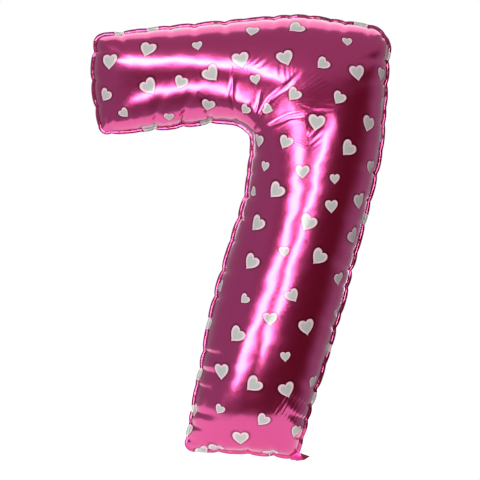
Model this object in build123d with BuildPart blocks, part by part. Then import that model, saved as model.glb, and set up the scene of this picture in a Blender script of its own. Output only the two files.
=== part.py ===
"""Foil number balloon, digit 7.

Two printed foil panels are welded together along a flat margin and blown up. A short tail
with two foil layers sticks out at the bottom right corner, and two clear films lie inside
the corner as a self-sealing valve.

Millimetres. +Z is up, the front faces -Y, and the weld lies in the plane Y = 0. The origin
is under the middle of the digit, at the height of its lowest point.
"""

import math
import os

from build123d import *

# ---- driving dimensions -------------------------------------------------------------

WALL = 1.2              # stand-in thickness of the foil, so that it can be a solid
MARGIN_WIDTH = 6.0      # flat margin outside the weld
MARGIN_FOIL = 0.8       # stand-in thickness of one panel's margin
CORNER_RADIUS = 14.0    # corners of the left end and of the foot
END_DEPTH = 9.0         # the envelope is this thin where its strokes end in a weld

# Cross-sections of the envelope, from the left end of the arm, round the elbow, to the
# foot: the margin's outermost point on the outer side (x, z) and on the inner side (x, z),
# and the depth of the envelope there.
SECTIONS = [
    ((-255, 723), (-246, 542), END_DEPTH),
    ((-226, 725), (-217, 542), 26),
    ((-190, 727), (-181, 548), 60),
    ((-134, 733), (-124, 553), 104),
    ((-66, 738), (-56, 562), 140),
    ((20, 746), (-18, 563), 168),
    ((112, 750), (4, 554), 188),
    ((215, 737), (16, 544), 196),
    ((246, 714), (20, 535), 197),
    ((254.5, 683), (21, 526), 197),
    ((248, 600), (18, 514), 196),
    ((241, 549), (15, 500), 194),
    ((229, 462), (9, 474), 190),
    ((211, 388), (0, 430), 181),
    ((189, 305), (-28, 358), 161),
    ((163, 222), (-51, 276), 134),
    ((143, 160), (-69, 212), 108),
    ((125, 104), (-86, 152), 80),
    ((112, 58), (-97, 94), 50),
    ((101, 29), (-100, 50), 26),
    ((89, -1), (-93, 12), END_DEPTH),
]
ARM_END = 6             # the section where the arm meets the elbow, whose sections fan out
STEM_START = 9          # the section where the elbow meets the stem

TAIL_ROOT_LOW = (92.8, 1.9)         # the line on which the tail folds, as x and z
TAIL_ROOT_HIGH = (98.5, 15.9)
TAIL_TIP = (117.2, 9.5)
TAIL_FOOT = (107.5, 3.0)
TAIL_MOUTH_LOW = (105.5, 2.7)       # the front layer ends at this slanting line
TAIL_MOUTH_HIGH = (100.4, 15.2)
TAIL_FOIL = 0.5                     # stand-in thickness of one layer of the tail
TAIL_GAP = 0.4                      # between the two layers

VALVE_ROOT = (64.0, 22.0)           # where the films are sealed to the neck
VALVE_ANGLE = 148.0                 # their direction, from +X towards +Z, in degrees
VALVE_LENGTH = 72.0
VALVE_WIDTH = 18.0
VALVE_FILM = 0.3                    # stand-in thickness of one film
VALVE_GAP = 0.4                     # between the two films

os.makedirs("parts", exist_ok=True)


def moved(point, other, distance):
    """The point moved straight towards the other one."""
    step = (Vector(*other) - Vector(*point)).normalized() * distance
    return (point[0] + step.X, point[1] + step.Y)


def end_moved_in(section, following, distance):
    """The end section of a stroke moved along it, towards the section that follows."""
    outer, inner, depth = section
    return (moved(outer, following[0], distance), moved(inner, following[1], distance), depth)


def section_ellipse(outer, inner, depth, wall):
    """One cross-section of the envelope inside the margin, thinner by the wall all round."""
    low = Vector(inner[0], 0, inner[1])
    high = Vector(outer[0], 0, outer[1])
    across = (high - low).normalized()
    half_width = (high - low).length / 2 - MARGIN_WIDTH - wall
    plane = Plane(origin=(low + high) / 2, x_dir=across, z_dir=across.cross(Vector(0, 1, 0)))
    with BuildSketch(plane) as sketch:
        Ellipse(half_width, depth / 2 - wall)
    return sketch.sketch


def envelope_sections(wall):
    """All cross-sections of the envelope's outside (wall 0) or of its inside."""
    inset = MARGIN_WIDTH + 2 * wall
    stations = list(SECTIONS)
    stations[0] = end_moved_in(SECTIONS[0], SECTIONS[1], inset)
    stations[-1] = end_moved_in(SECTIONS[-1], SECTIONS[-2], inset)
    return [section_ellipse(*station, wall) for station in stations]


def loft_strokes(sections, mode):
    """Lofts along the arm, from section to section round the elbow, and along the stem."""
    cuts = [0, *range(ARM_END, STEM_START + 1), len(sections) - 1]
    for first, last in zip(cuts, cuts[1:]):
        loft(sections[first:last + 1], mode=mode)


# ---- foil panels --------------------------------------------------------------------

outside = envelope_sections(0)
inside = envelope_sections(WALL)

with BuildPart() as front_foil_panel:
    loft_strokes(outside, Mode.ADD)
    with BuildSketch(Plane.XZ) as margin:
        with BuildLine():
            top = Polyline(*[section[0] for section in SECTIONS])
            underside = Polyline(*[section[1] for section in SECTIONS])
            Line(top @ 0, underside @ 0)
            Line(top @ 1, underside @ 1)
        make_face()
        corners = margin.vertices().sort_by(Axis.X)[:2] + margin.vertices().sort_by(Axis.Y)[:2]
        fillet(corners, CORNER_RADIUS)
    extrude(amount=MARGIN_FOIL, both=True)
    loft_strokes(inside, Mode.SUBTRACT)
    split(bisect_by=Plane.XZ, keep=Keep.TOP)
front_foil_panel.part.label = "front_foil_panel"
export_step(front_foil_panel.part, "parts/front_foil_panel.step")

with BuildPart() as rear_foil_panel:
    mirror(front_foil_panel.part, about=Plane.XZ)
rear_foil_panel.part.label = "rear_foil_panel"
export_step(rear_foil_panel.part, "parts/rear_foil_panel.step")

# ---- tail ---------------------------------------------------------------------------

with BuildPart() as tail_front_foil:
    with BuildSketch(Plane.XZ.offset(TAIL_GAP / 2)):
        with BuildLine():
            Polyline(TAIL_ROOT_LOW, TAIL_MOUTH_LOW, TAIL_MOUTH_HIGH, TAIL_ROOT_HIGH, close=True)
        make_face()
    extrude(amount=TAIL_FOIL)
tail_front_foil.part.label = "tail_front_foil"
export_step(tail_front_foil.part, "parts/tail_front_foil.step")

with BuildPart() as tail_rear_foil:
    with BuildSketch(Plane.XZ.offset(-TAIL_GAP / 2)):
        with BuildLine():
            Polyline(TAIL_ROOT_LOW, TAIL_FOOT, TAIL_TIP, TAIL_ROOT_HIGH, close=True)
        make_face()
    extrude(amount=-TAIL_FOIL)
tail_rear_foil.part.label = "tail_rear_foil"
export_step(tail_rear_foil.part, "parts/tail_rear_foil.step")

# ---- valve --------------------------------------------------------------------------

angle = math.radians(VALVE_ANGLE)
valve_plane = Plane(
    origin=(VALVE_ROOT[0], 0, VALVE_ROOT[1]),
    x_dir=(math.cos(angle), 0, math.sin(angle)),
    z_dir=(0, -1, 0),
)

with BuildPart() as valve_front_film:
    with BuildSketch(valve_plane.offset(VALVE_GAP / 2)):
        Rectangle(VALVE_LENGTH, VALVE_WIDTH, align=(Align.MIN, Align.CENTER))
    extrude(amount=VALVE_FILM)
valve_front_film.part.label = "valve_front_film"
export_step(valve_front_film.part, "parts/valve_front_film.step")

with BuildPart() as valve_rear_film:
    mirror(valve_front_film.part, about=Plane.XZ)
valve_rear_film.part.label = "valve_rear_film"
export_step(valve_rear_film.part, "parts/valve_rear_film.step")

box = front_foil_panel.part.bounding_box()
print("front panel from", box.min, "to", box.max)
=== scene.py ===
"""Foil number balloon, digit 7: looks. Metres, +Z up, the front faces -Y."""

import math

import bpy
import numpy as np
from mathutils import Matrix, Vector, noise
from mathutils.bvhtree import BVHTree
from mathutils.geometry import delaunay_2d_cdt


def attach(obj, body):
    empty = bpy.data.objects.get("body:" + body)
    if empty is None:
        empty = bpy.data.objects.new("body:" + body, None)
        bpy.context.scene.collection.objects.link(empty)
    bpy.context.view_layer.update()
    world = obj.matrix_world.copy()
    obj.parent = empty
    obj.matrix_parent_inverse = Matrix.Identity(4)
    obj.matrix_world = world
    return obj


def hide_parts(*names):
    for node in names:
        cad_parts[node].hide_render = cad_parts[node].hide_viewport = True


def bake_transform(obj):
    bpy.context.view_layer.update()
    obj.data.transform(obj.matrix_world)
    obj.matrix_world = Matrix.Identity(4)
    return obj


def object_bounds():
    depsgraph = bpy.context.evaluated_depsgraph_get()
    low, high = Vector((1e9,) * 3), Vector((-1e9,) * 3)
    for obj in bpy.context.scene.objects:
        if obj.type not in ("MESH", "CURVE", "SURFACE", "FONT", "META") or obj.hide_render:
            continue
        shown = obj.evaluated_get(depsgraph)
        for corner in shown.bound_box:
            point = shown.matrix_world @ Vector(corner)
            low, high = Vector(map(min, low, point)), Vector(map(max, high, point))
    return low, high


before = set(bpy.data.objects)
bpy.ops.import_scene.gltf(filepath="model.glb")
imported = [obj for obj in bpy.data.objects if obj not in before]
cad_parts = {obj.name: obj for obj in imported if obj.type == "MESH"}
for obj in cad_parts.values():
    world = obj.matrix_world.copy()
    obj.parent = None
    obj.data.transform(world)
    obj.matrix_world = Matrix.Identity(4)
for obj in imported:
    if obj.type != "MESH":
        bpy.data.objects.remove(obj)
cad_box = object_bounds()

MM = 0.001


# ---- cutting pattern ----------------------------------------------------------------
# Each row is a corner of the flat cut, the place of the same corner on the blown-up
# balloon, and the radius of both: x, z, x, z, radius, in mm. The flat places were fitted by
# a separate program that inflated trial cuts, then rounded, and a few were moved by hand.
# The flat cut gives the mesh and the size of the sheet, and not the depth of the balloon.

PATTERN = [
    (-182, 866, -244, 717, 20),     # left end of the arm, top
    (-237, 780, -254, 643, 250),
    (-251, 695, -236, 545, 20),     # left end of the arm, bottom
    (-128, 616, -107, 556, 800),
    (-70, 586, -35, 566, 120),
    (-38, 554, 19, 557, 30),        # inner corner
    (-43, 451, 6, 452, 150),
    (-74, 265, -48, 278, 800),
    (-92, -13, -98, 17, 18),        # foot, left
    (0, -17, 3, 12, 400),
    (119, -19, 97, 3, 16),          # foot, right
    (224, 271, 178, 268, 800),
    (289, 507, 241, 512, 500),
    (316, 712, 257, 728, 45),       # outer corner of the elbow
    (137, 790, 100, 752, 250),
    (-57, 837, -107, 733, 800),
]
MARGIN = 4.5 * MM           # the flat margin outside the weld
SIM_STEP = 7 * MM           # mesh size of the settling
STEP = 4 * MM               # of the finished foil
PLEAT_STEP = 1.45 * MM       # and of its pleated part
FLAT_ELBOW = (-38 * MM, 554 * MM)   # the inner corner of the cut
PLEATED = (26 * MM, 158 * MM)       # the pleated ring around it


def rounded(corners, step):
    """Points round a closed outline of (x, z, radius), and where each corner's arc is."""
    points, middles = [], []
    for k, (x, z, radius) in enumerate(corners):
        here = np.array([x, z])
        to_last = np.array(corners[k - 1][:2]) - here
        to_next = np.array(corners[(k + 1) % len(corners)][:2]) - here
        to_last /= np.linalg.norm(to_last)
        to_next /= np.linalg.norm(to_next)
        half = math.acos(np.clip(to_last @ to_next, -1, 1)) / 2
        inward = (to_last + to_next) / np.linalg.norm(to_last + to_next)
        centre = here + inward * radius / math.sin(half)
        start = here + to_last * radius / math.tan(half) - centre
        end = here + to_next * radius / math.tan(half) - centre
        turn = (math.pi - 2 * half) * np.sign(start[0] * end[1] - start[1] * end[0])
        first = math.atan2(start[1], start[0])
        count = max(2, 2 * round(radius * abs(turn) / step / 2))
        middles.append(len(points) + count // 2)
        for part in np.linspace(0, 1, count + 1):
            angle = first + turn * part
            points.append(centre + radius * np.array([math.cos(angle), math.sin(angle)]))
    return np.array(points), middles


def walked(loop):
    """Distance walked along a closed loop at each of its points, and its whole length."""
    steps = np.linalg.norm(np.roll(loop, -1, 0) - loop, axis=1)
    return np.concatenate([[0], np.cumsum(steps)])


def resampled(loop, step):
    """The closed loop with evenly spaced points."""
    along = walked(loop)
    at = np.linspace(0, along[-1], round(along[-1] / step), endpoint=False)
    closed = np.vstack([loop, loop[:1]])
    return np.stack([np.interp(at, along, closed[:, k]) for k in (0, 1)], 1)


def inset(loop, distance):
    """An anticlockwise loop moved towards its inside."""
    along = np.roll(loop, -1, 0) - np.roll(loop, 1, 0)
    along /= np.linalg.norm(along, axis=1)[:, None]
    return loop + distance * np.stack([-along[:, 1], along[:, 0]], 1)


def is_inside(points, loop):
    x, z = points[:, :1], points[:, 1:]
    x0, z0 = loop[:, 0], loop[:, 1]
    x1, z1 = np.roll(x0, -1), np.roll(z0, -1)
    spans = (z0 > z) != (z1 > z)
    left = x < (x1 - x0) * (z - z0) / np.where(z1 == z0, 1, z1 - z0) + x0
    return (spans & left).sum(1) % 2 == 1


def nearest(points, loop):
    """Index of the nearest point of the loop, and the distance to it."""
    index = np.empty(len(points), int)
    far = np.empty(len(points))
    for k in range(0, len(points), 2000):
        gaps = np.linalg.norm(points[k:k + 2000, None] - loop[None], axis=2)
        index[k:k + 2000] = gaps.argmin(1)
        far[k:k + 2000] = gaps.min(1)
    return index, far


def outline(column):
    """A closed outline of the pattern, point by point, and the walk to each of its corners."""
    loop, middles = rounded([(row[column] * MM, row[column + 1] * MM, row[4] * MM)
                             for row in PATTERN], MM)
    along = walked(loop)
    return resampled(loop, MM), np.concatenate([[0], along[middles], along[-1:]])


def at_seam(points):
    """For points of the flat cut: the nearest place on the blown-up outline, the way in
    from there, the depth inside the cut edge and the walk along the outline."""
    flat, flat_marks = outline(0)
    full, full_marks = outline(2)
    index, depth = nearest(points, flat)
    walk = np.interp(walked(flat)[index], flat_marks, full_marks)
    along = walked(full)
    closed = np.vstack([full, full[:1]])
    on_edge = np.stack([np.interp(walk, along, closed[:, k]) for k in (0, 1)], 1)
    ahead = np.stack([np.interp((walk + MM) % along[-1], along, closed[:, k])
                      for k in (0, 1)], 1)
    forward = (ahead - on_edge) / np.linalg.norm(ahead - on_edge, axis=1)[:, None]
    return on_edge, np.stack([-forward[:, 1], forward[:, 0]], 1), depth, walk


def lattice(low, high, step):
    """Rows of points in equilateral triangles."""
    rows = []
    for j, z in enumerate(np.arange(low[1], high[1], step * math.sqrt(3) / 2)):
        x = np.arange(low[0] + (j % 2) * step / 2, high[0], step)
        rows.append(np.stack([x, np.full(len(x), z)], 1))
    return np.vstack(rows)


def flat_sheet(step, pleat_step):
    """One flat foil sheet as triangles: points (x, z), faces, masks of weld and cut."""
    edge, _ = outline(0)
    cut = resampled(edge, step)
    weld = resampled(inset(edge, MARGIN), step)
    inner = lattice(cut.min(0), cut.max(0), step)
    if pleat_step:
        ring = np.linalg.norm(inner - FLAT_ELBOW, axis=1)
        fine = lattice(cut.min(0), cut.max(0), pleat_step)
        fine_ring = np.linalg.norm(fine - FLAT_ELBOW, axis=1)
        inner = np.vstack([inner[(ring < PLEATED[0]) | (ring > PLEATED[1])],
                           fine[(fine_ring > PLEATED[0]) & (fine_ring < PLEATED[1])]])
    inner = inner[is_inside(inner, weld)]
    inner = inner[nearest(inner, weld)[1] > 0.62 * step]
    loops, first = [], 0
    for loop in (weld, cut):
        loops.append(list(range(first, first + len(loop))))
        first += len(loop)
    edges = [(ring[k - 1], ring[k]) for ring in loops for k in range(len(ring))]
    points = [Vector(p) for p in np.vstack([weld, cut, inner])]
    found = delaunay_2d_cdt(points, edges, [loops[1]], 1, 1e-6)
    flat = np.array([tuple(p) for p in found[0]])
    source = np.array([min(s) if s else len(points) for s in found[3]])
    on_weld = source < len(weld)
    on_cut = (source >= len(weld)) & (source < first)
    return flat, np.array(found[2]), on_weld, on_cut


class Envelope:
    """Front and rear sheet welded together: a closed mesh with a single margin round it."""

    def __init__(self, step, pleat_step=None):
        self.flat, faces, self.on_weld, self.on_cut = flat_sheet(step, pleat_step)
        count = len(self.flat)
        a, b, c = (self.flat[faces[:, k]] for k in range(3))
        turned = ((b - a)[:, 0] * (c - a)[:, 1] - (b - a)[:, 1] * (c - a)[:, 0]) < 0
        faces[turned] = faces[turned][:, ::-1]
        in_margin = self.on_cut[faces].any(1)
        self.inner = np.nonzero(~(self.on_weld | self.on_cut))[0]
        self.rear_of = np.arange(count)
        self.rear_of[self.inner] = count + np.arange(len(self.inner))
        self.front_faces = faces[~in_margin]
        self.rear_faces = self.rear_of[faces[~in_margin]][:, ::-1]
        self.margin_faces = faces[in_margin]
        self.own_faces = np.vstack([self.front_faces, self.margin_faces])
        self.faces = np.vstack([self.front_faces, self.rear_faces, self.margin_faces])

    def filled(self, fullness):
        """A smooth first guess of the blown-up shape, with the seam where it ends up."""
        seam = self.on_weld | self.on_cut
        count = len(self.flat)
        matrix = np.zeros((count, count))
        for i, j in ((0, 1), (1, 2), (2, 0)):
            matrix[self.own_faces[:, i], self.own_faces[:, j]] = 1
            matrix[self.own_faces[:, j], self.own_faces[:, i]] = 1
        links = matrix.sum(1)
        free = np.nonzero(~seam)[0]
        held = np.nonzero(seam)[0]
        place = np.zeros((count, 3))
        on_edge, inward, margin, _ = at_seam(self.flat[held])
        place[held[:, None], [0, 2]] = on_edge + margin[:, None] * inward
        spacing = np.linalg.norm(np.roll(self.flat[self.on_weld], 1, 0) - self.flat[self.on_weld],
                                 axis=1).min()
        source = matrix[np.ix_(free, held)] @ place[held]
        source[:, 1] = CUSHION_LIFT * spacing ** 2
        system = np.diag(links[free]) - matrix[np.ix_(free, free)]
        place[free] = np.linalg.solve(system, source)
        depth = fullness * np.sqrt(np.maximum(2 * place[:, 1], 0))
        rear = place[self.inner]
        place[:, 1] = -depth
        rear[:, 1] = depth[self.inner]
        return np.vstack([place, rear])


# ---- settling under gas pressure ----------------------------------------------------

FOIL_STIFFNESS = 80
FOIL_BENDING = 0.05
GAS_PRESSURE = 40
INFLATION_FRAMES = 14
FULLNESS = 0.59             # sets the depth of the balloon, chosen
CUSHION_LIFT = 1.5          # load on each point of the first guess, in squared mesh steps


def add_weights(obj, name, chosen):
    group = obj.vertex_groups.new(name=name)
    group.add(np.nonzero(chosen)[0].tolist(), 1.0, "REPLACE")


def settled(envelope):
    """The first guess after gas pressure has evened it out, with the seam held. Rest lengths
    are those of the guess, so this moves the foil by about 2 mm at most."""
    start = envelope.filled(FULLNESS)
    count = len(start)
    mesh = bpy.data.meshes.new("settling")
    mesh.from_pydata(start.tolist(), [], envelope.faces.tolist())
    obj = bpy.data.objects.new("settling", mesh)
    bpy.context.scene.collection.objects.link(obj)
    on_cut = np.zeros(count, bool)
    on_cut[:len(envelope.on_cut)] = envelope.on_cut
    seam = np.zeros(count, bool)
    seam[:len(envelope.on_cut)] = envelope.on_cut | envelope.on_weld
    add_weights(obj, "gas", ~on_cut)
    add_weights(obj, "seam", seam)
    cloth = obj.modifiers.new("cloth", "CLOTH")
    foil = cloth.settings
    foil.quality = 5
    foil.mass = 0.1
    foil.tension_stiffness = FOIL_STIFFNESS
    foil.compression_stiffness = FOIL_STIFFNESS
    foil.shear_stiffness = FOIL_STIFFNESS
    foil.bending_stiffness = FOIL_BENDING
    foil.use_pressure = True
    foil.uniform_pressure_force = GAS_PRESSURE
    foil.vertex_group_pressure = "gas"
    foil.vertex_group_mass = "seam"
    foil.effector_weights.gravity = 0
    cloth.collision_settings.use_collision = False
    cloth.point_cache.frame_start = 1
    cloth.point_cache.frame_end = INFLATION_FRAMES
    for step in range(1, INFLATION_FRAMES + 1):
        bpy.context.scene.frame_set(step)
    result = obj.evaluated_get(bpy.context.evaluated_depsgraph_get()).data
    place = np.empty(count * 3)
    result.vertices.foreach_get("co", place)
    bpy.context.scene.frame_set(1)
    bpy.data.objects.remove(obj)
    return place.reshape(-1, 3)


ROUNDING = 0.75             # how far a fine point goes from a coarse face to the curve over it
SMOOTHING_ROUNDS = 6


def vertex_normals(place, faces):
    corners = place[faces]
    face_normals = np.cross(corners[:, 1] - corners[:, 0], corners[:, 2] - corners[:, 0])
    normals = np.zeros_like(place)
    for k in range(3):
        np.add.at(normals, faces[:, k], face_normals)
    return normals / np.maximum(np.linalg.norm(normals, axis=1), 1e-12)[:, None]


def smoothed(place, faces, free, rounds):
    """The free points moved towards the middle of their neighbours."""
    edges = np.vstack([faces[:, [0, 1]], faces[:, [1, 2]], faces[:, [2, 0]]])
    count = np.bincount(edges.ravel(), minlength=len(place))[:, None]
    for _ in range(rounds):
        total = np.zeros_like(place)
        np.add.at(total, edges[:, 0], place[edges[:, 1]])
        np.add.at(total, edges[:, 1], place[edges[:, 0]])
        place = np.where(free[:, None], (place + total / np.maximum(count, 1)) / 2, place)
    return place


def flat_cross(u, v):
    return u[:, 0] * v[:, 1] - u[:, 1] * v[:, 0]


def carried_over(coarse, place, faces, points):
    """The points of a finer sheet on the curved surface through a coarser one's faces."""
    flat = [Vector((x, z, 0)) for x, z in coarse.flat]
    tree = BVHTree.FromPolygons(flat, coarse.own_faces.tolist())
    normals = vertex_normals(place, faces)
    hits = [tree.find_nearest(Vector((x, z, 0))) for x, z in points]
    index = np.array([hit[2] for hit in hits])
    spots = np.array([hit[0][:2] for hit in hits])
    a, b, c = (coarse.flat[coarse.own_faces[index, k]] for k in range(3))
    whole = flat_cross(b - a, c - a)
    weights = np.stack([flat_cross(b - spots, c - spots), flat_cross(c - spots, a - spots),
                        flat_cross(a - spots, b - spots)], 1) / whole[:, None]
    corners, around = place[faces[index]], normals[faces[index]]
    middle = (weights[:, :, None] * corners).sum(1)
    offset = ((middle[:, None] - corners) * around).sum(2)
    curved = ((middle[:, None] - offset[:, :, None] * around) * weights[:, :, None]).sum(1)
    return middle + ROUNDING * (curved - middle)


# ---- relief of the foil -------------------------------------------------------------
# All of this is pressed in by formula, after the settling. Creases run out from the inner
# corner, fine pleats lie beside them, and gathers start at the seam. Places are x and z on
# the blown-up front, in mm.

CREASES = [
    ([(-8, 566), (-13, 600), (-11, 640), (-9, 680), (-4, 702)], 1.0),
    ([(22, 555), (33, 573), (49, 597), (78, 622), (101, 645)], 1.1),
    ([(31, 546), (54, 557), (78, 568), (108, 573), (138, 577)], 1.2),
    ([(24, 571), (30, 592), (33, 612)], 0.7),
    ([(8, 573), (15, 596)], 0.6),
    ([(-52, 572), (-57, 590), (-68, 612)], 0.7),
    ([(-175, 551), (-183, 570), (-188, 588)], 0.7),
    ([(10, 8), (4, 24), (0, 40)], 1.6),
    ([(-58, 10), (-64, 30)], 1.4),
    ([(88, 12), (66, 34), (52, 48)], 1.4),
]
CREASE_WIDTH = 2.7 * MM
INNER_CORNER = (20 * MM, 556 * MM)
PLEAT_TURN = math.radians(2.6)      # from one pleat to the next, round the inner corner
PLEAT_DEPTH = 0.5 * MM
PLEAT_GROUPS = [                    # from and to: direction from +X, and distance in mm
    (-24, 6, 62, 108),
    (12, 46, 84, 136),
    (48, 70, 92, 126),
    (76, 98, 92, 132),
    (132, 146, 60, 105),
]
STACKED = ((62, 112), (118, 74), 40)        # wrinkles above the foot: ends, and width in mm
STACKED_PITCH = 7 * MM
GATHER_STEP = (24, 52)              # from one gather of the seam to the next, in mm
GATHER_PULL = 5 * MM
GATHER_DEPTH = 2.2 * MM
DENT_DEPTH = 0.7 * MM
DENT_SCALES = (16, 45)              # waves per metre, roughly, of the slow and the finer dents
LIP_HEIGHT = 0.10                   # of the raised lip beside a crease, as a share of its depth
RIPPLE = 33 * MM                    # waves of the margin, to the front and the back
FINE_RIPPLE = 14 * MM


def along_path(points, path):
    """Distance to a path of straight runs, and how far along it, from 0 to 1."""
    path = np.array(path) * MM
    steps = np.diff(path, axis=0)
    lengths = np.linalg.norm(steps, axis=1)
    far, share, before = np.full(len(points), 1.0), np.zeros(len(points)), 0
    for start, step, length in zip(path, steps, lengths):
        on_run = np.clip((points - start) @ step / length ** 2, 0, 1)
        gap = np.linalg.norm(points - start - on_run[:, None] * step, axis=1)
        nearer = gap < far
        far = np.where(nearer, gap, far)
        share = np.where(nearer, (before + on_run * length) / lengths.sum(), share)
        before += length
    return far, share


def window(value, low, high, soft):
    """1 between low and high, falling to 0 over soft on both sides."""
    rise = np.clip((value - low) / soft + 0.5, 0, 1)
    fall = np.clip((high - value) / soft + 0.5, 0, 1)
    return rise ** 2 * (3 - 2 * rise) * fall ** 2 * (3 - 2 * fall)


def crease_relief(spots):
    relief = np.zeros(len(spots))
    for path, depth in CREASES:
        far, share = along_path(spots, path)
        strength = depth * MM * np.sin(math.pi * np.clip(0.16 + 0.84 * share, 0, 1)) ** 0.7
        valley = np.exp(-far / CREASE_WIDTH)
        lip = np.exp(-((far - 2.2 * CREASE_WIDTH) / CREASE_WIDTH) ** 2)
        relief += strength * (LIP_HEIGHT * lip - valley)
    return relief


def pleat_relief(spots):
    way = spots - INNER_CORNER
    turn = np.arctan2(way[:, 1], way[:, 0])
    reach = np.linalg.norm(way, axis=1)
    wave = np.sin(math.pi * turn / PLEAT_TURN + 3 * np.sin(5 * turn)) ** 2
    relief = np.zeros(len(spots))
    for low, high, near, far in PLEAT_GROUPS:
        relief += (PLEAT_DEPTH * (wave - 0.5) * window(np.degrees(turn), low, high, 8)
                   * window(reach, near * MM, far * MM, 22 * MM))
    start, end, width = STACKED
    far, share = along_path(spots, (start, end))
    across = (spots @ (np.array(end) - start)) / np.linalg.norm(np.subtract(end, start))
    relief += (2.0 * PLEAT_DEPTH * np.sin(2 * math.pi * across / STACKED_PITCH)
               * window(share, 0.05, 0.95, 0.25) * window(far, -1, width * MM / 2, 14 * MM))
    return relief


def gathers(length, seed):
    """Walks to the seam's gathers, and how strong each one is."""
    dice = np.random.default_rng(seed)
    walks = np.cumsum(dice.uniform(*GATHER_STEP, size=200)) * MM
    walks = walks[walks < length]
    return walks, dice.uniform(0.4, 1, size=len(walks)) ** 1.5


def gathered(walk, depth, length):
    """The seam's pull inwards, and the valleys that run from it into the foil."""
    pull, relief = np.zeros(len(walk)), np.zeros(len(walk))
    for at, strength in zip(*gathers(length, seed=7)):
        gap = np.abs((walk - at + length / 2) % length - length / 2)
        pull += strength * np.exp(-gap / (7 * MM)) * np.exp(-depth / (16 * MM))
        width = 1.5 * MM + 0.16 * depth
        reach = 10 * MM + 8 * MM * strength
        relief -= (strength * np.exp(-(gap / width) ** 2)
                   * (depth / reach) * np.exp(1 - depth / reach))
    return GATHER_PULL * pull, GATHER_DEPTH * relief


def dents(place, seed):
    """Slow unevenness of the taut foil."""
    shift = Vector((seed, 0, 0))
    slow, fine = DENT_SCALES
    return np.array([noise.noise(Vector(p) * slow + shift) + 0.4 * noise.noise(Vector(p) * fine)
                     for p in place.tolist()])


# ---- printed hearts -----------------------------------------------------------------

SMALL, MEDIUM, LARGE = 17, 22, 27
HEARTS = [                          # x, z, width, tilt to the right in degrees
    # arm
    (-204, 718, SMALL, 0), (-146, 725, MEDIUM, 10), (-105, 721, MEDIUM, 20),
    (-47, 728, MEDIUM, 0), (-214, 663, LARGE, 3), (-151, 681, LARGE, 20),
    (-70, 685, SMALL, -10), (-223, 609, MEDIUM, 30), (-149, 619, LARGE, -35),
    (-97, 626, MEDIUM, 25), (-45, 638, LARGE, -38), (-191, 579, SMALL, -45),
    (-52, 589, MEDIUM, 15), (-116, 573, SMALL, 0), (-151, 556, LARGE, -20),
    (-60, 566, MEDIUM, 30),
    # elbow
    (2, 661, LARGE, -10), (18, 711, MEDIUM, 15), (90, 716, LARGE, 60),
    (139, 738, MEDIUM, 0), (201, 730, LARGE, 20), (176, 695, SMALL, 0),
    (75, 663, LARGE, -20), (132, 656, MEDIUM, 50), (189, 641, LARGE, -10),
    (233, 641, MEDIUM, 5), (246, 681, LARGE, 30), (25, 628, SMALL, -10),
    (85, 603, MEDIUM, 40), (157, 599, MEDIUM, 30), (238, 596, LARGE, 0),
    (8, 581, SMALL, 40), (45, 581, SMALL, -70), (209, 557, LARGE, 15),
    (122, 559, LARGE, 10),
    # stem
    (30, 531, MEDIUM, 0), (72, 527, MEDIUM, 25), (172, 516, LARGE, 40),
    (236, 541, MEDIUM, -20), (40, 490, SMALL, 10), (100, 480, MEDIUM, 0),
    (152, 469, SMALL, 0), (216, 490, MEDIUM, 5), (22, 450, SMALL, -30),
    (57, 449, LARGE, 40), (196, 432, LARGE, 0), (147, 424, MEDIUM, 0),
    (109, 397, LARGE, 30), (27, 395, LARGE, 35), (213, 405, MEDIUM, 20),
    (184, 375, LARGE, -15), (17, 335, LARGE, 35), (70, 353, SMALL, 0),
    (126, 341, LARGE, 40), (-33, 295, MEDIUM, 0), (7, 276, SMALL, 45),
    (85, 280, MEDIUM, -30), (162, 305, MEDIUM, 0), (47, 244, MEDIUM, 0),
    (-54, 231, MEDIUM, 20), (-8, 218, LARGE, 40), (107, 228, LARGE, -8),
    (162, 249, MEDIUM, 0), (72, 181, SMALL, 0), (144, 186, LARGE, 20),
    # foot
    (-32, 156, LARGE, 0), (-74, 144, MEDIUM, -20), (20, 137, LARGE, 50),
    (77, 126, LARGE, -15), (121, 136, MEDIUM, 10), (122, 105, MEDIUM, 0),
    (-77, 87, MEDIUM, 0), (-33, 94, SMALL, 30), (37, 79, MEDIUM, 40),
    (2, 45, LARGE, 0), (92, 54, MEDIUM, 20), (-95, 54, MEDIUM, 0),
    (-42, 25, LARGE, 35), (50, 15, LARGE, 10), (-64, 12, MEDIUM, -30),
]


def print_places(place, faces, outward):
    """For each face, where it lies in its nearest heart, in half widths of the heart."""
    normals = vertex_normals(place, faces)
    middles = place[faces].mean(1)
    far = np.full(len(faces), 1.0)
    local = np.zeros((len(faces), 3, 2))
    for x, z, width, tilt in HEARTS:
        seat = np.linalg.norm(place[:, [0, 2]] - (x * MM, z * MM), axis=1).argmin()
        normal = normals[seat]
        angle = math.radians(tilt)
        right = np.array([math.cos(angle) * -outward, 0, -math.sin(angle)])
        right -= right @ normal * normal
        right /= np.linalg.norm(right)
        up = np.cross(normal, right)
        gap = np.linalg.norm(middles - place[seat], axis=1)
        nearer = gap < far
        far[nearer] = gap[nearer]
        offset = place[faces[nearer]] - place[seat]
        local[nearer] = np.stack([offset @ right, offset @ up], 2) / (width * MM / 2)
    return local


# ---- materials ----------------------------------------------------------------------

PINK = (0.71, 0.062, 0.29, 1)
INK = (0.40, 0.47, 0.43, 1)
INK_RIM = (0.76, 0.55, 0.61, 1)
RING = (0.12, 0.004, 0.03, 1)       # the dark ring round the ink
RING_STRENGTH = 0.78


def new_material(name):
    material = bpy.data.materials.new(name)
    material.use_nodes = True
    return material, material.node_tree.nodes, material.node_tree.links


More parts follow.
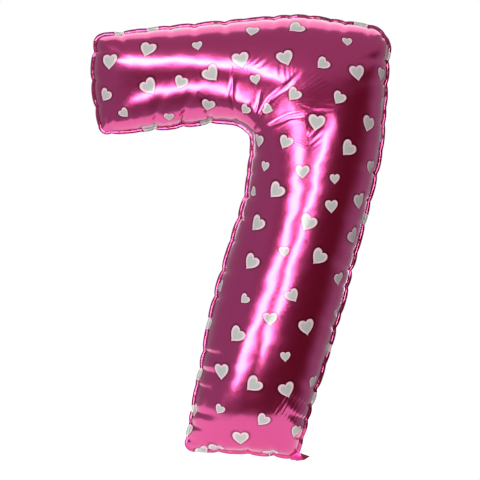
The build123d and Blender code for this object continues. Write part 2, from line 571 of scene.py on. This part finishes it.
def maths(nodes, links, operation, first, second=None):
    """A Math node on two sockets or numbers; gives its output."""
    node = nodes.new("ShaderNodeMath")
    node.operation = operation
    for socket, value in zip(node.inputs, (first, second)):
        if isinstance(value, (int, float)):
            socket.default_value = value
        elif value is not None:
            links.new(value, socket)
    return node.outputs[0]


def ramped(nodes, links, value, at_zero, at_one):
    """0 where value is at_zero, 1 where it is at_one, smooth between."""
    node = nodes.new("ShaderNodeMapRange")
    node.interpolation_type = "SMOOTHSTEP"
    links.new(value, node.inputs["Value"])
    node.inputs["From Min"].default_value = min(at_zero, at_one)
    node.inputs["From Max"].default_value = max(at_zero, at_one)
    node.inputs["To Min"].default_value = float(at_zero > at_one)
    node.inputs["To Max"].default_value = float(at_one > at_zero)
    return node.outputs["Result"]


def mixed(nodes, links, factor, first, second):
    """A colour mix of two sockets or colours; gives its output."""
    node = nodes.new("ShaderNodeMix")
    node.data_type = "RGBA"
    links.new(factor, node.inputs["Factor"])
    for socket, value in ((node.inputs[6], first), (node.inputs[7], second)):
        if isinstance(value, tuple):
            socket.default_value = value
        else:
            links.new(value, socket)
    return node.outputs[2]


def make_heart_group():
    """From a place in a heart: the ink, the ink's pale rim and the dark ring outside it."""
    group = bpy.data.node_groups.new("heart", "ShaderNodeTree")
    group.interface.new_socket("Place", in_out="INPUT", socket_type="NodeSocketVector")
    for name in ("Ink", "Rim", "Ring"):
        group.interface.new_socket(name, in_out="OUTPUT", socket_type="NodeSocketFloat")
    nodes, links = group.nodes, group.links
    inside, outside = nodes.new("NodeGroupInput"), nodes.new("NodeGroupOutput")
    parts = nodes.new("ShaderNodeSeparateXYZ")
    links.new(inside.outputs["Place"], parts.inputs[0])
    x, y = parts.outputs["X"], parts.outputs["Y"]
    lobe = maths(nodes, links, "SQRT", maths(nodes, links, "ABSOLUTE", x))
    lift = maths(nodes, links, "SUBTRACT", maths(nodes, links, "MULTIPLY", y, 1.2),
                 maths(nodes, links, "MULTIPLY", lobe, 0.82))
    lift = maths(nodes, links, "ADD", lift, 0.2)
    size = maths(nodes, links, "SQRT", maths(
        nodes, links, "ADD", maths(nodes, links, "MULTIPLY", x, x),
        maths(nodes, links, "MULTIPLY", lift, lift)))
    links.new(ramped(nodes, links, size, 1.03, 0.95), outside.inputs["Ink"])
    links.new(ramped(nodes, links, size, 0.60, 0.82), outside.inputs["Rim"])
    links.new(ramped(nodes, links, size, 1.40, 1.03), outside.inputs["Ring"])
    return group


def make_foil_group():
    """Fine unevenness of thin foil, and its rolling marks, as a height and a roughness."""
    group = bpy.data.node_groups.new("foil surface", "ShaderNodeTree")
    group.interface.new_socket("Crinkle", in_out="INPUT", socket_type="NodeSocketFloat")
    for name in ("Height", "Roughness"):
        group.interface.new_socket(name, in_out="OUTPUT", socket_type="NodeSocketFloat")
    nodes, links = group.nodes, group.links
    inside, outside = nodes.new("NodeGroupInput"), nodes.new("NodeGroupOutput")
    place = nodes.new("ShaderNodeTexCoord")
    slow = nodes.new("ShaderNodeTexNoise")
    slow.inputs["Scale"].default_value = 38
    slow.inputs["Detail"].default_value = 2
    fine = nodes.new("ShaderNodeTexNoise")
    fine.inputs["Scale"].default_value = 240
    fine.inputs["Detail"].default_value = 3
    for texture in (slow, fine):
        links.new(place.outputs["Object"], texture.inputs["Vector"])
    height = maths(nodes, links, "ADD", slow.outputs["Fac"],
                   maths(nodes, links, "MULTIPLY", fine.outputs["Fac"], 0.12))
    links.new(maths(nodes, links, "MULTIPLY", height, inside.outputs["Crinkle"]),
              outside.inputs["Height"])
    links.new(maths(nodes, links, "MULTIPLY", fine.outputs["Fac"], 0.10),
              outside.inputs["Roughness"])
    return group


def add_foil_surface(nodes, links, shader, group, crinkle):
    """The foil group on a shader's normal; gives its roughness."""
    surface = nodes.new("ShaderNodeGroup")
    surface.node_tree = group
    surface.inputs["Crinkle"].default_value = crinkle
    bump = nodes.new("ShaderNodeBump")
    bump.inputs["Distance"].default_value = 0.6 * MM
    bump.inputs["Strength"].default_value = 0.5
    links.new(surface.outputs["Height"], bump.inputs["Height"])
    links.new(bump.outputs["Normal"], shader.inputs["Normal"])
    return surface.outputs["Roughness"]


def make_printed_foil(foil_group, heart_group):
    material, nodes, links = new_material("printed_foil")
    shader = nodes["Principled BSDF"]
    uv = nodes.new("ShaderNodeUVMap")
    uv.uv_map = "print"
    heart = nodes.new("ShaderNodeGroup")
    heart.node_tree = heart_group
    links.new(uv.outputs["UV"], heart.inputs["Place"])
    ringed = mixed(nodes, links, maths(nodes, links, "MULTIPLY", heart.outputs["Ring"],
                                       RING_STRENGTH), PINK, RING)
    ink = mixed(nodes, links, heart.outputs["Rim"], INK, INK_RIM)
    links.new(mixed(nodes, links, heart.outputs["Ink"], ringed, ink),
              shader.inputs["Base Color"])
    links.new(maths(nodes, links, "SUBTRACT", 1.0, heart.outputs["Ink"]),
              shader.inputs["Metallic"])
    foil = add_foil_surface(nodes, links, shader, foil_group, 1.0)
    rough = maths(nodes, links, "ADD", maths(nodes, links, "ADD", foil, 0.14),
                  maths(nodes, links, "MULTIPLY", heart.outputs["Ink"], 0.3))
    links.new(rough, shader.inputs["Roughness"])
    shader.inputs["Coat Weight"].default_value = 1
    shader.inputs["Coat IOR"].default_value = 1.6
    shader.inputs["Coat Roughness"].default_value = 0.16
    return material


def make_plain_foil(name, foil_group, colour, crinkle, roughness):
    material, nodes, links = new_material(name)
    shader = nodes["Principled BSDF"]
    shader.inputs["Metallic"].default_value = 1
    patches = nodes.new("ShaderNodeTexNoise")
    patches.inputs["Scale"].default_value = 90
    place = nodes.new("ShaderNodeTexCoord")
    links.new(place.outputs["Object"], patches.inputs["Vector"])
    darker = tuple(0.75 * part for part in colour[:3]) + (1,)
    links.new(mixed(nodes, links, patches.outputs["Fac"], colour, darker),
              shader.inputs["Base Color"])
    foil = add_foil_surface(nodes, links, shader, foil_group, crinkle)
    links.new(maths(nodes, links, "ADD", foil, roughness), shader.inputs["Roughness"])
    return material


def make_valve_film():
    material, nodes, links = new_material("valve_film")
    shader = nodes["Principled BSDF"]
    shader.inputs["Transmission Weight"].default_value = 0.8
    shader.inputs["IOR"].default_value = 1.5
    haze = nodes.new("ShaderNodeTexNoise")
    haze.inputs["Scale"].default_value = 120
    place = nodes.new("ShaderNodeTexCoord")
    links.new(place.outputs["Object"], haze.inputs["Vector"])
    links.new(mixed(nodes, links, haze.outputs["Fac"], (0.90, 0.93, 0.95, 1),
                    (0.80, 0.85, 0.88, 1)), shader.inputs["Base Color"])
    links.new(maths(nodes, links, "MULTIPLY", haze.outputs["Fac"], 0.25),
              shader.inputs["Roughness"])
    return material


# ---- foil panels --------------------------------------------------------------------

FOIL = 0.16 * MM                    # stand-in thickness of the foil


def foil_place(coarse, coarse_place, fine, outward):
    """The finished points of one panel before its relief: smooth, and exact at the seam."""
    faces = coarse.own_faces if outward < 0 else coarse.rear_of[coarse.own_faces]
    place = carried_over(coarse, coarse_place, faces, fine.flat)
    on_edge, inward, depth, walk = at_seam(fine.flat)
    seam = fine.on_weld | fine.on_cut
    place[np.ix_(seam, [0, 2])] = (on_edge + depth[:, None] * inward)[seam]
    place[seam, 1] = 0
    place = smoothed(place, fine.own_faces, ~seam, SMOOTHING_ROUNDS)
    return place, inward, depth, walk


def add_relief(place, faces, inward, depth, walk, outward):
    """Creases, pleats, gathers and dents pressed into a panel."""
    normals = vertex_normals(place, faces)
    spots = place[:, [0, 2]]
    length = walked(outline(2)[0])[-1]
    pull, valleys = gathered(walk, depth, length)
    off_seam = np.clip((depth - MARGIN) / (12 * MM), 0, 1)
    relief = crease_relief(spots) + pleat_relief(spots)
    relief += DENT_DEPTH * dents(place, 3 + outward)
    moved = place + normals * (relief * off_seam + valleys
                               * np.clip((depth - MARGIN) / (3 * MM), 0, 1))[:, None]
    moved[:, [0, 2]] += inward * pull[:, None]
    around = 2 * math.pi * walk / length
    ripple = (0.6 * np.sin(round(length / RIPPLE) * around + 2 * np.sin(9 * around))
              + 0.3 * np.sin(round(length / FINE_RIPPLE) * around))
    moved[:, 1] += MM * ripple * np.exp(-depth / (7 * MM))
    moved[:, 1] += outward * FOIL
    return moved


def make_panel(name, coarse, coarse_place, fine, outward):
    place, inward, depth, walk = foil_place(coarse, coarse_place, fine, outward)
    faces = fine.own_faces if outward < 0 else fine.own_faces[:, ::-1]
    printed = print_places(place, faces, outward)
    place = add_relief(place, faces, inward, depth, walk, outward)
    mesh = bpy.data.meshes.new(name)
    mesh.from_pydata(place.tolist(), [], faces.tolist())
    layer = mesh.uv_layers.new(name="print")
    layer.data.foreach_set("uv", printed.ravel())
    mesh.shade_smooth()
    ends = np.empty(2 * len(mesh.edges), int)
    mesh.edges.foreach_get("vertices", ends)
    at_weld = fine.on_weld[ends.reshape(-1, 2)].all(1)
    mesh.edges.foreach_set("use_edge_sharp", at_weld)
    panel = bpy.data.objects.new(name, mesh)
    bpy.context.scene.collection.objects.link(panel)
    select_only(panel)
    wall = panel.modifiers.new("foil", "SOLIDIFY")
    wall.thickness = FOIL
    wall.offset = -1
    bpy.ops.object.modifier_apply(modifier=wall.name)
    return panel


def select_only(obj):
    bpy.ops.object.select_all(action="DESELECT")
    obj.select_set(True)
    bpy.context.view_layer.objects.active = obj


# ---- tail ---------------------------------------------------------------------------

TAIL_ROOT = ((92.8, 1.9), (98.5, 15.9))     # the line on which the tail folds
TAIL_SEAM = ((84.0, 3.5), (91.5, 19.0))     # where it is welded into the panels
FRONT_MOUTH = ((105.5, 2.7), (100.4, 15.2))
REAR_MOUTH = ((107.5, 3.0), (117.2, 9.5))


def make_tail_layer(name, low_line, high_line, offset, bow):
    """A small strip of foil between two slanting lines, slightly bowed and crinkled."""
    bpy.ops.mesh.primitive_grid_add(x_subdivisions=14, y_subdivisions=14, size=1)
    layer = bpy.context.object
    layer.name = name
    (x0, z0), (x1, z1) = low_line
    (x2, z2), (x3, z3) = high_line
    for vertex in layer.data.vertices:
        u, v = vertex.co.x + 0.5, vertex.co.y + 0.5
        x = (1 - u) * ((1 - v) * x0 + v * x1) + u * ((1 - v) * x2 + v * x3)
        z = (1 - u) * ((1 - v) * z0 + v * z1) + u * ((1 - v) * z2 + v * z3)
        crinkle = 0.25 * noise.noise(Vector((x / 3.5, offset, z / 3.5)))
        vertex.co = Vector((x, offset + bow * math.sin(math.pi * v) * u + crinkle * u, z)) * MM
    select_only(layer)
    bpy.ops.object.mode_set(mode="EDIT")
    bpy.ops.mesh.select_all(action="SELECT")
    bpy.ops.mesh.normals_make_consistent(inside=False)
    bpy.ops.object.mode_set(mode="OBJECT")
    wall = layer.modifiers.new("foil", "SOLIDIFY")
    wall.thickness = FOIL
    wall.offset = 0
    bpy.ops.object.modifier_apply(modifier=wall.name)
    bpy.ops.object.shade_smooth_by_angle(angle=math.radians(40))
    return layer


# ---- stage --------------------------------------------------------------------------

FLOOR_FRONT = -0.17
FLOOR_SIDES = (-1.2, 0.2)


def make_stage():
    """A pale floor that ends in front of the balloon, so that the foil mirrors its edge."""
    bpy.ops.mesh.primitive_plane_add(size=1, location=(0, 0, 0))
    floor = bpy.context.object
    floor.name = "floor"
    low = min(cad_box[0][2], 0) - 1.2 * MM
    for vertex in floor.data.vertices:
        vertex.co = Vector((FLOOR_SIDES[int(vertex.co.x > 0)],
                            FLOOR_FRONT if vertex.co.y < 0 else 1.0, low))
    material, nodes, links = new_material("pale_floor")
    shader = nodes["Principled BSDF"]
    shader.inputs["Base Color"].default_value = (0.70, 0.69, 0.70, 1)
    shader.inputs["Roughness"].default_value = 0.8
    shader.inputs["Emission Color"].default_value = (1, 1, 1, 1)
    seen = nodes.new("ShaderNodeLightPath")
    links.new(maths(nodes, links, "ADD", maths(
        nodes, links, "MULTIPLY", seen.outputs["Is Camera Ray"], 0.25), 0.5),
        shader.inputs["Emission Strength"])
    floor.data.materials.append(material)


def add_light(name, place, target, size, power):
    """A rectangular soft light that faces the target."""
    light = bpy.data.lights.new(name, "AREA")
    light.shape = "RECTANGLE"
    light.size, light.size_y = size
    light.energy = power
    lamp = bpy.data.objects.new(name, light)
    bpy.context.scene.collection.objects.link(lamp)
    lamp.location = place
    lamp.rotation_euler = (Vector(target) - Vector(place)).to_track_quat("-Z", "Y").to_euler()


def add_strip(name, low, high, target, width, power):
    """A long slanting light between two points, turned to face the target."""
    low, high, target = Vector(low), Vector(high), Vector(target)
    middle = (low + high) / 2
    back = (middle - target).normalized()
    along = high - low
    length = along.length
    along = (along - along.dot(back) * back).normalized()
    light = bpy.data.lights.new(name, "AREA")
    light.shape = "RECTANGLE"
    light.size, light.size_y = width, length
    light.energy = power
    lamp = bpy.data.objects.new(name, light)
    bpy.context.scene.collection.objects.link(lamp)
    lamp.location = middle
    lamp.rotation_euler = Matrix((along.cross(back), along, back)).transposed().to_euler()


def make_lights():
    middle = (0, 0, 0.4)
    add_light("arm_box", (-0.75, -1.75, 1.62), (0, 0, 0.64), (2.0, 0.30), 20)
    add_strip("left_strip", (-1.15, -1.75, -0.34), (0.12, -2.1, 0.85), middle, 0.32, 16)
    add_strip("right_strip", (-0.25, -2.05, -0.34), (1.12, -1.75, 0.85), middle, 0.16, 12)
    add_light("rear_strip", (-0.9, 1.9, 0.8), middle, (0.30, 1.4), 1.5)
    add_light("rear_side_strip", (1.0, 1.7, 0.6), middle, (0.16, 1.4), 2)
    add_light("ceiling", (0, 1.2, 2.4), (0, 0.2, 0), (3.6, 2.4), 26)


def make_camera():
    """Straight in front, level with the middle of the picture."""
    data = bpy.data.cameras.new("camera")
    data.lens = 85
    data.sensor_width = 36
    camera = bpy.data.objects.new("camera", data)
    bpy.context.scene.collection.objects.link(camera)
    view_width = 803.5 * MM
    middle = Vector((0, 0, 371.6 * MM))
    camera.location = middle - Vector((0, view_width * data.lens / data.sensor_width, 0))
    camera.rotation_euler = (math.radians(90), 0, 0)
    bpy.context.scene.camera = camera


def make_world():
    """Dark in front of the balloon, paler behind it, and white where it is seen itself."""
    world = bpy.data.worlds.new("studio")
    world.use_nodes = True
    nodes, links = world.node_tree.nodes, world.node_tree.links
    place = nodes.new("ShaderNodeTexCoord")
    parts = nodes.new("ShaderNodeSeparateXYZ")
    links.new(place.outputs["Generated"], parts.inputs[0])
    leftward = maths(nodes, links, "MULTIPLY", parts.outputs["X"], -0.45)
    behind = ramped(nodes, links, maths(nodes, links, "ADD", parts.outputs["Y"], leftward),
                    -0.85, -0.2)
    above = ramped(nodes, links, parts.outputs["Z"], 0.28, 0.5)
    room = mixed(nodes, links, behind, (0.13, 0.025, 0.035, 1), (0.33, 0.27, 0.31, 1))
    room = mixed(nodes, links, above, room, (0.37, 0.27, 0.31, 1))
    seen = nodes.new("ShaderNodeLightPath")
    links.new(mixed(nodes, links, seen.outputs["Is Camera Ray"], room, (1, 1, 1, 1)),
              nodes["Background"].inputs["Color"])
    bpy.context.scene.world = world
    bpy.context.scene.view_settings.view_transform = "Standard"


# ---- the balloon --------------------------------------------------------------------

make_camera()
make_world()
make_lights()
make_stage()

foil_group = make_foil_group()
heart_group = make_heart_group()
printed_foil = make_printed_foil(foil_group, heart_group)
plain_foil = make_plain_foil("plain_foil", foil_group, PINK, 1.6, 0.2)
inner_foil = make_plain_foil("inner_foil", foil_group, (0.16, 0.03, 0.035, 1), 1.6, 0.25)
valve_film = make_valve_film()

coarse = Envelope(SIM_STEP)
coarse_place = settled(coarse)
fine = Envelope(STEP, PLEAT_STEP)
cut, _ = outline(0)
for name, node, outward in (("front_foil", "front_foil_panel", -1),
                            ("rear_foil", "rear_foil_panel", 1)):
    panel = make_panel(name, coarse, coarse_place, fine, outward)
    panel.data.materials.append(printed_foil)
    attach(panel, "envelope")
    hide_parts(node)

neck = make_tail_layer("tail_front", TAIL_SEAM, FRONT_MOUTH, -0.35, -0.5)
neck.data.materials.append(plain_foil)
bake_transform(neck)
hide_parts("tail_front_foil")

flap = make_tail_layer("tail_rear", TAIL_ROOT, REAR_MOUTH, 0.35, 0.4)
flap.data.materials.append(inner_foil)
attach(flap, "tail_rear_layer")
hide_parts("tail_rear_foil")

for name in ("valve_front_film", "valve_rear_film"):
    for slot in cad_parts[name].material_slots:
        slot.material = valve_film
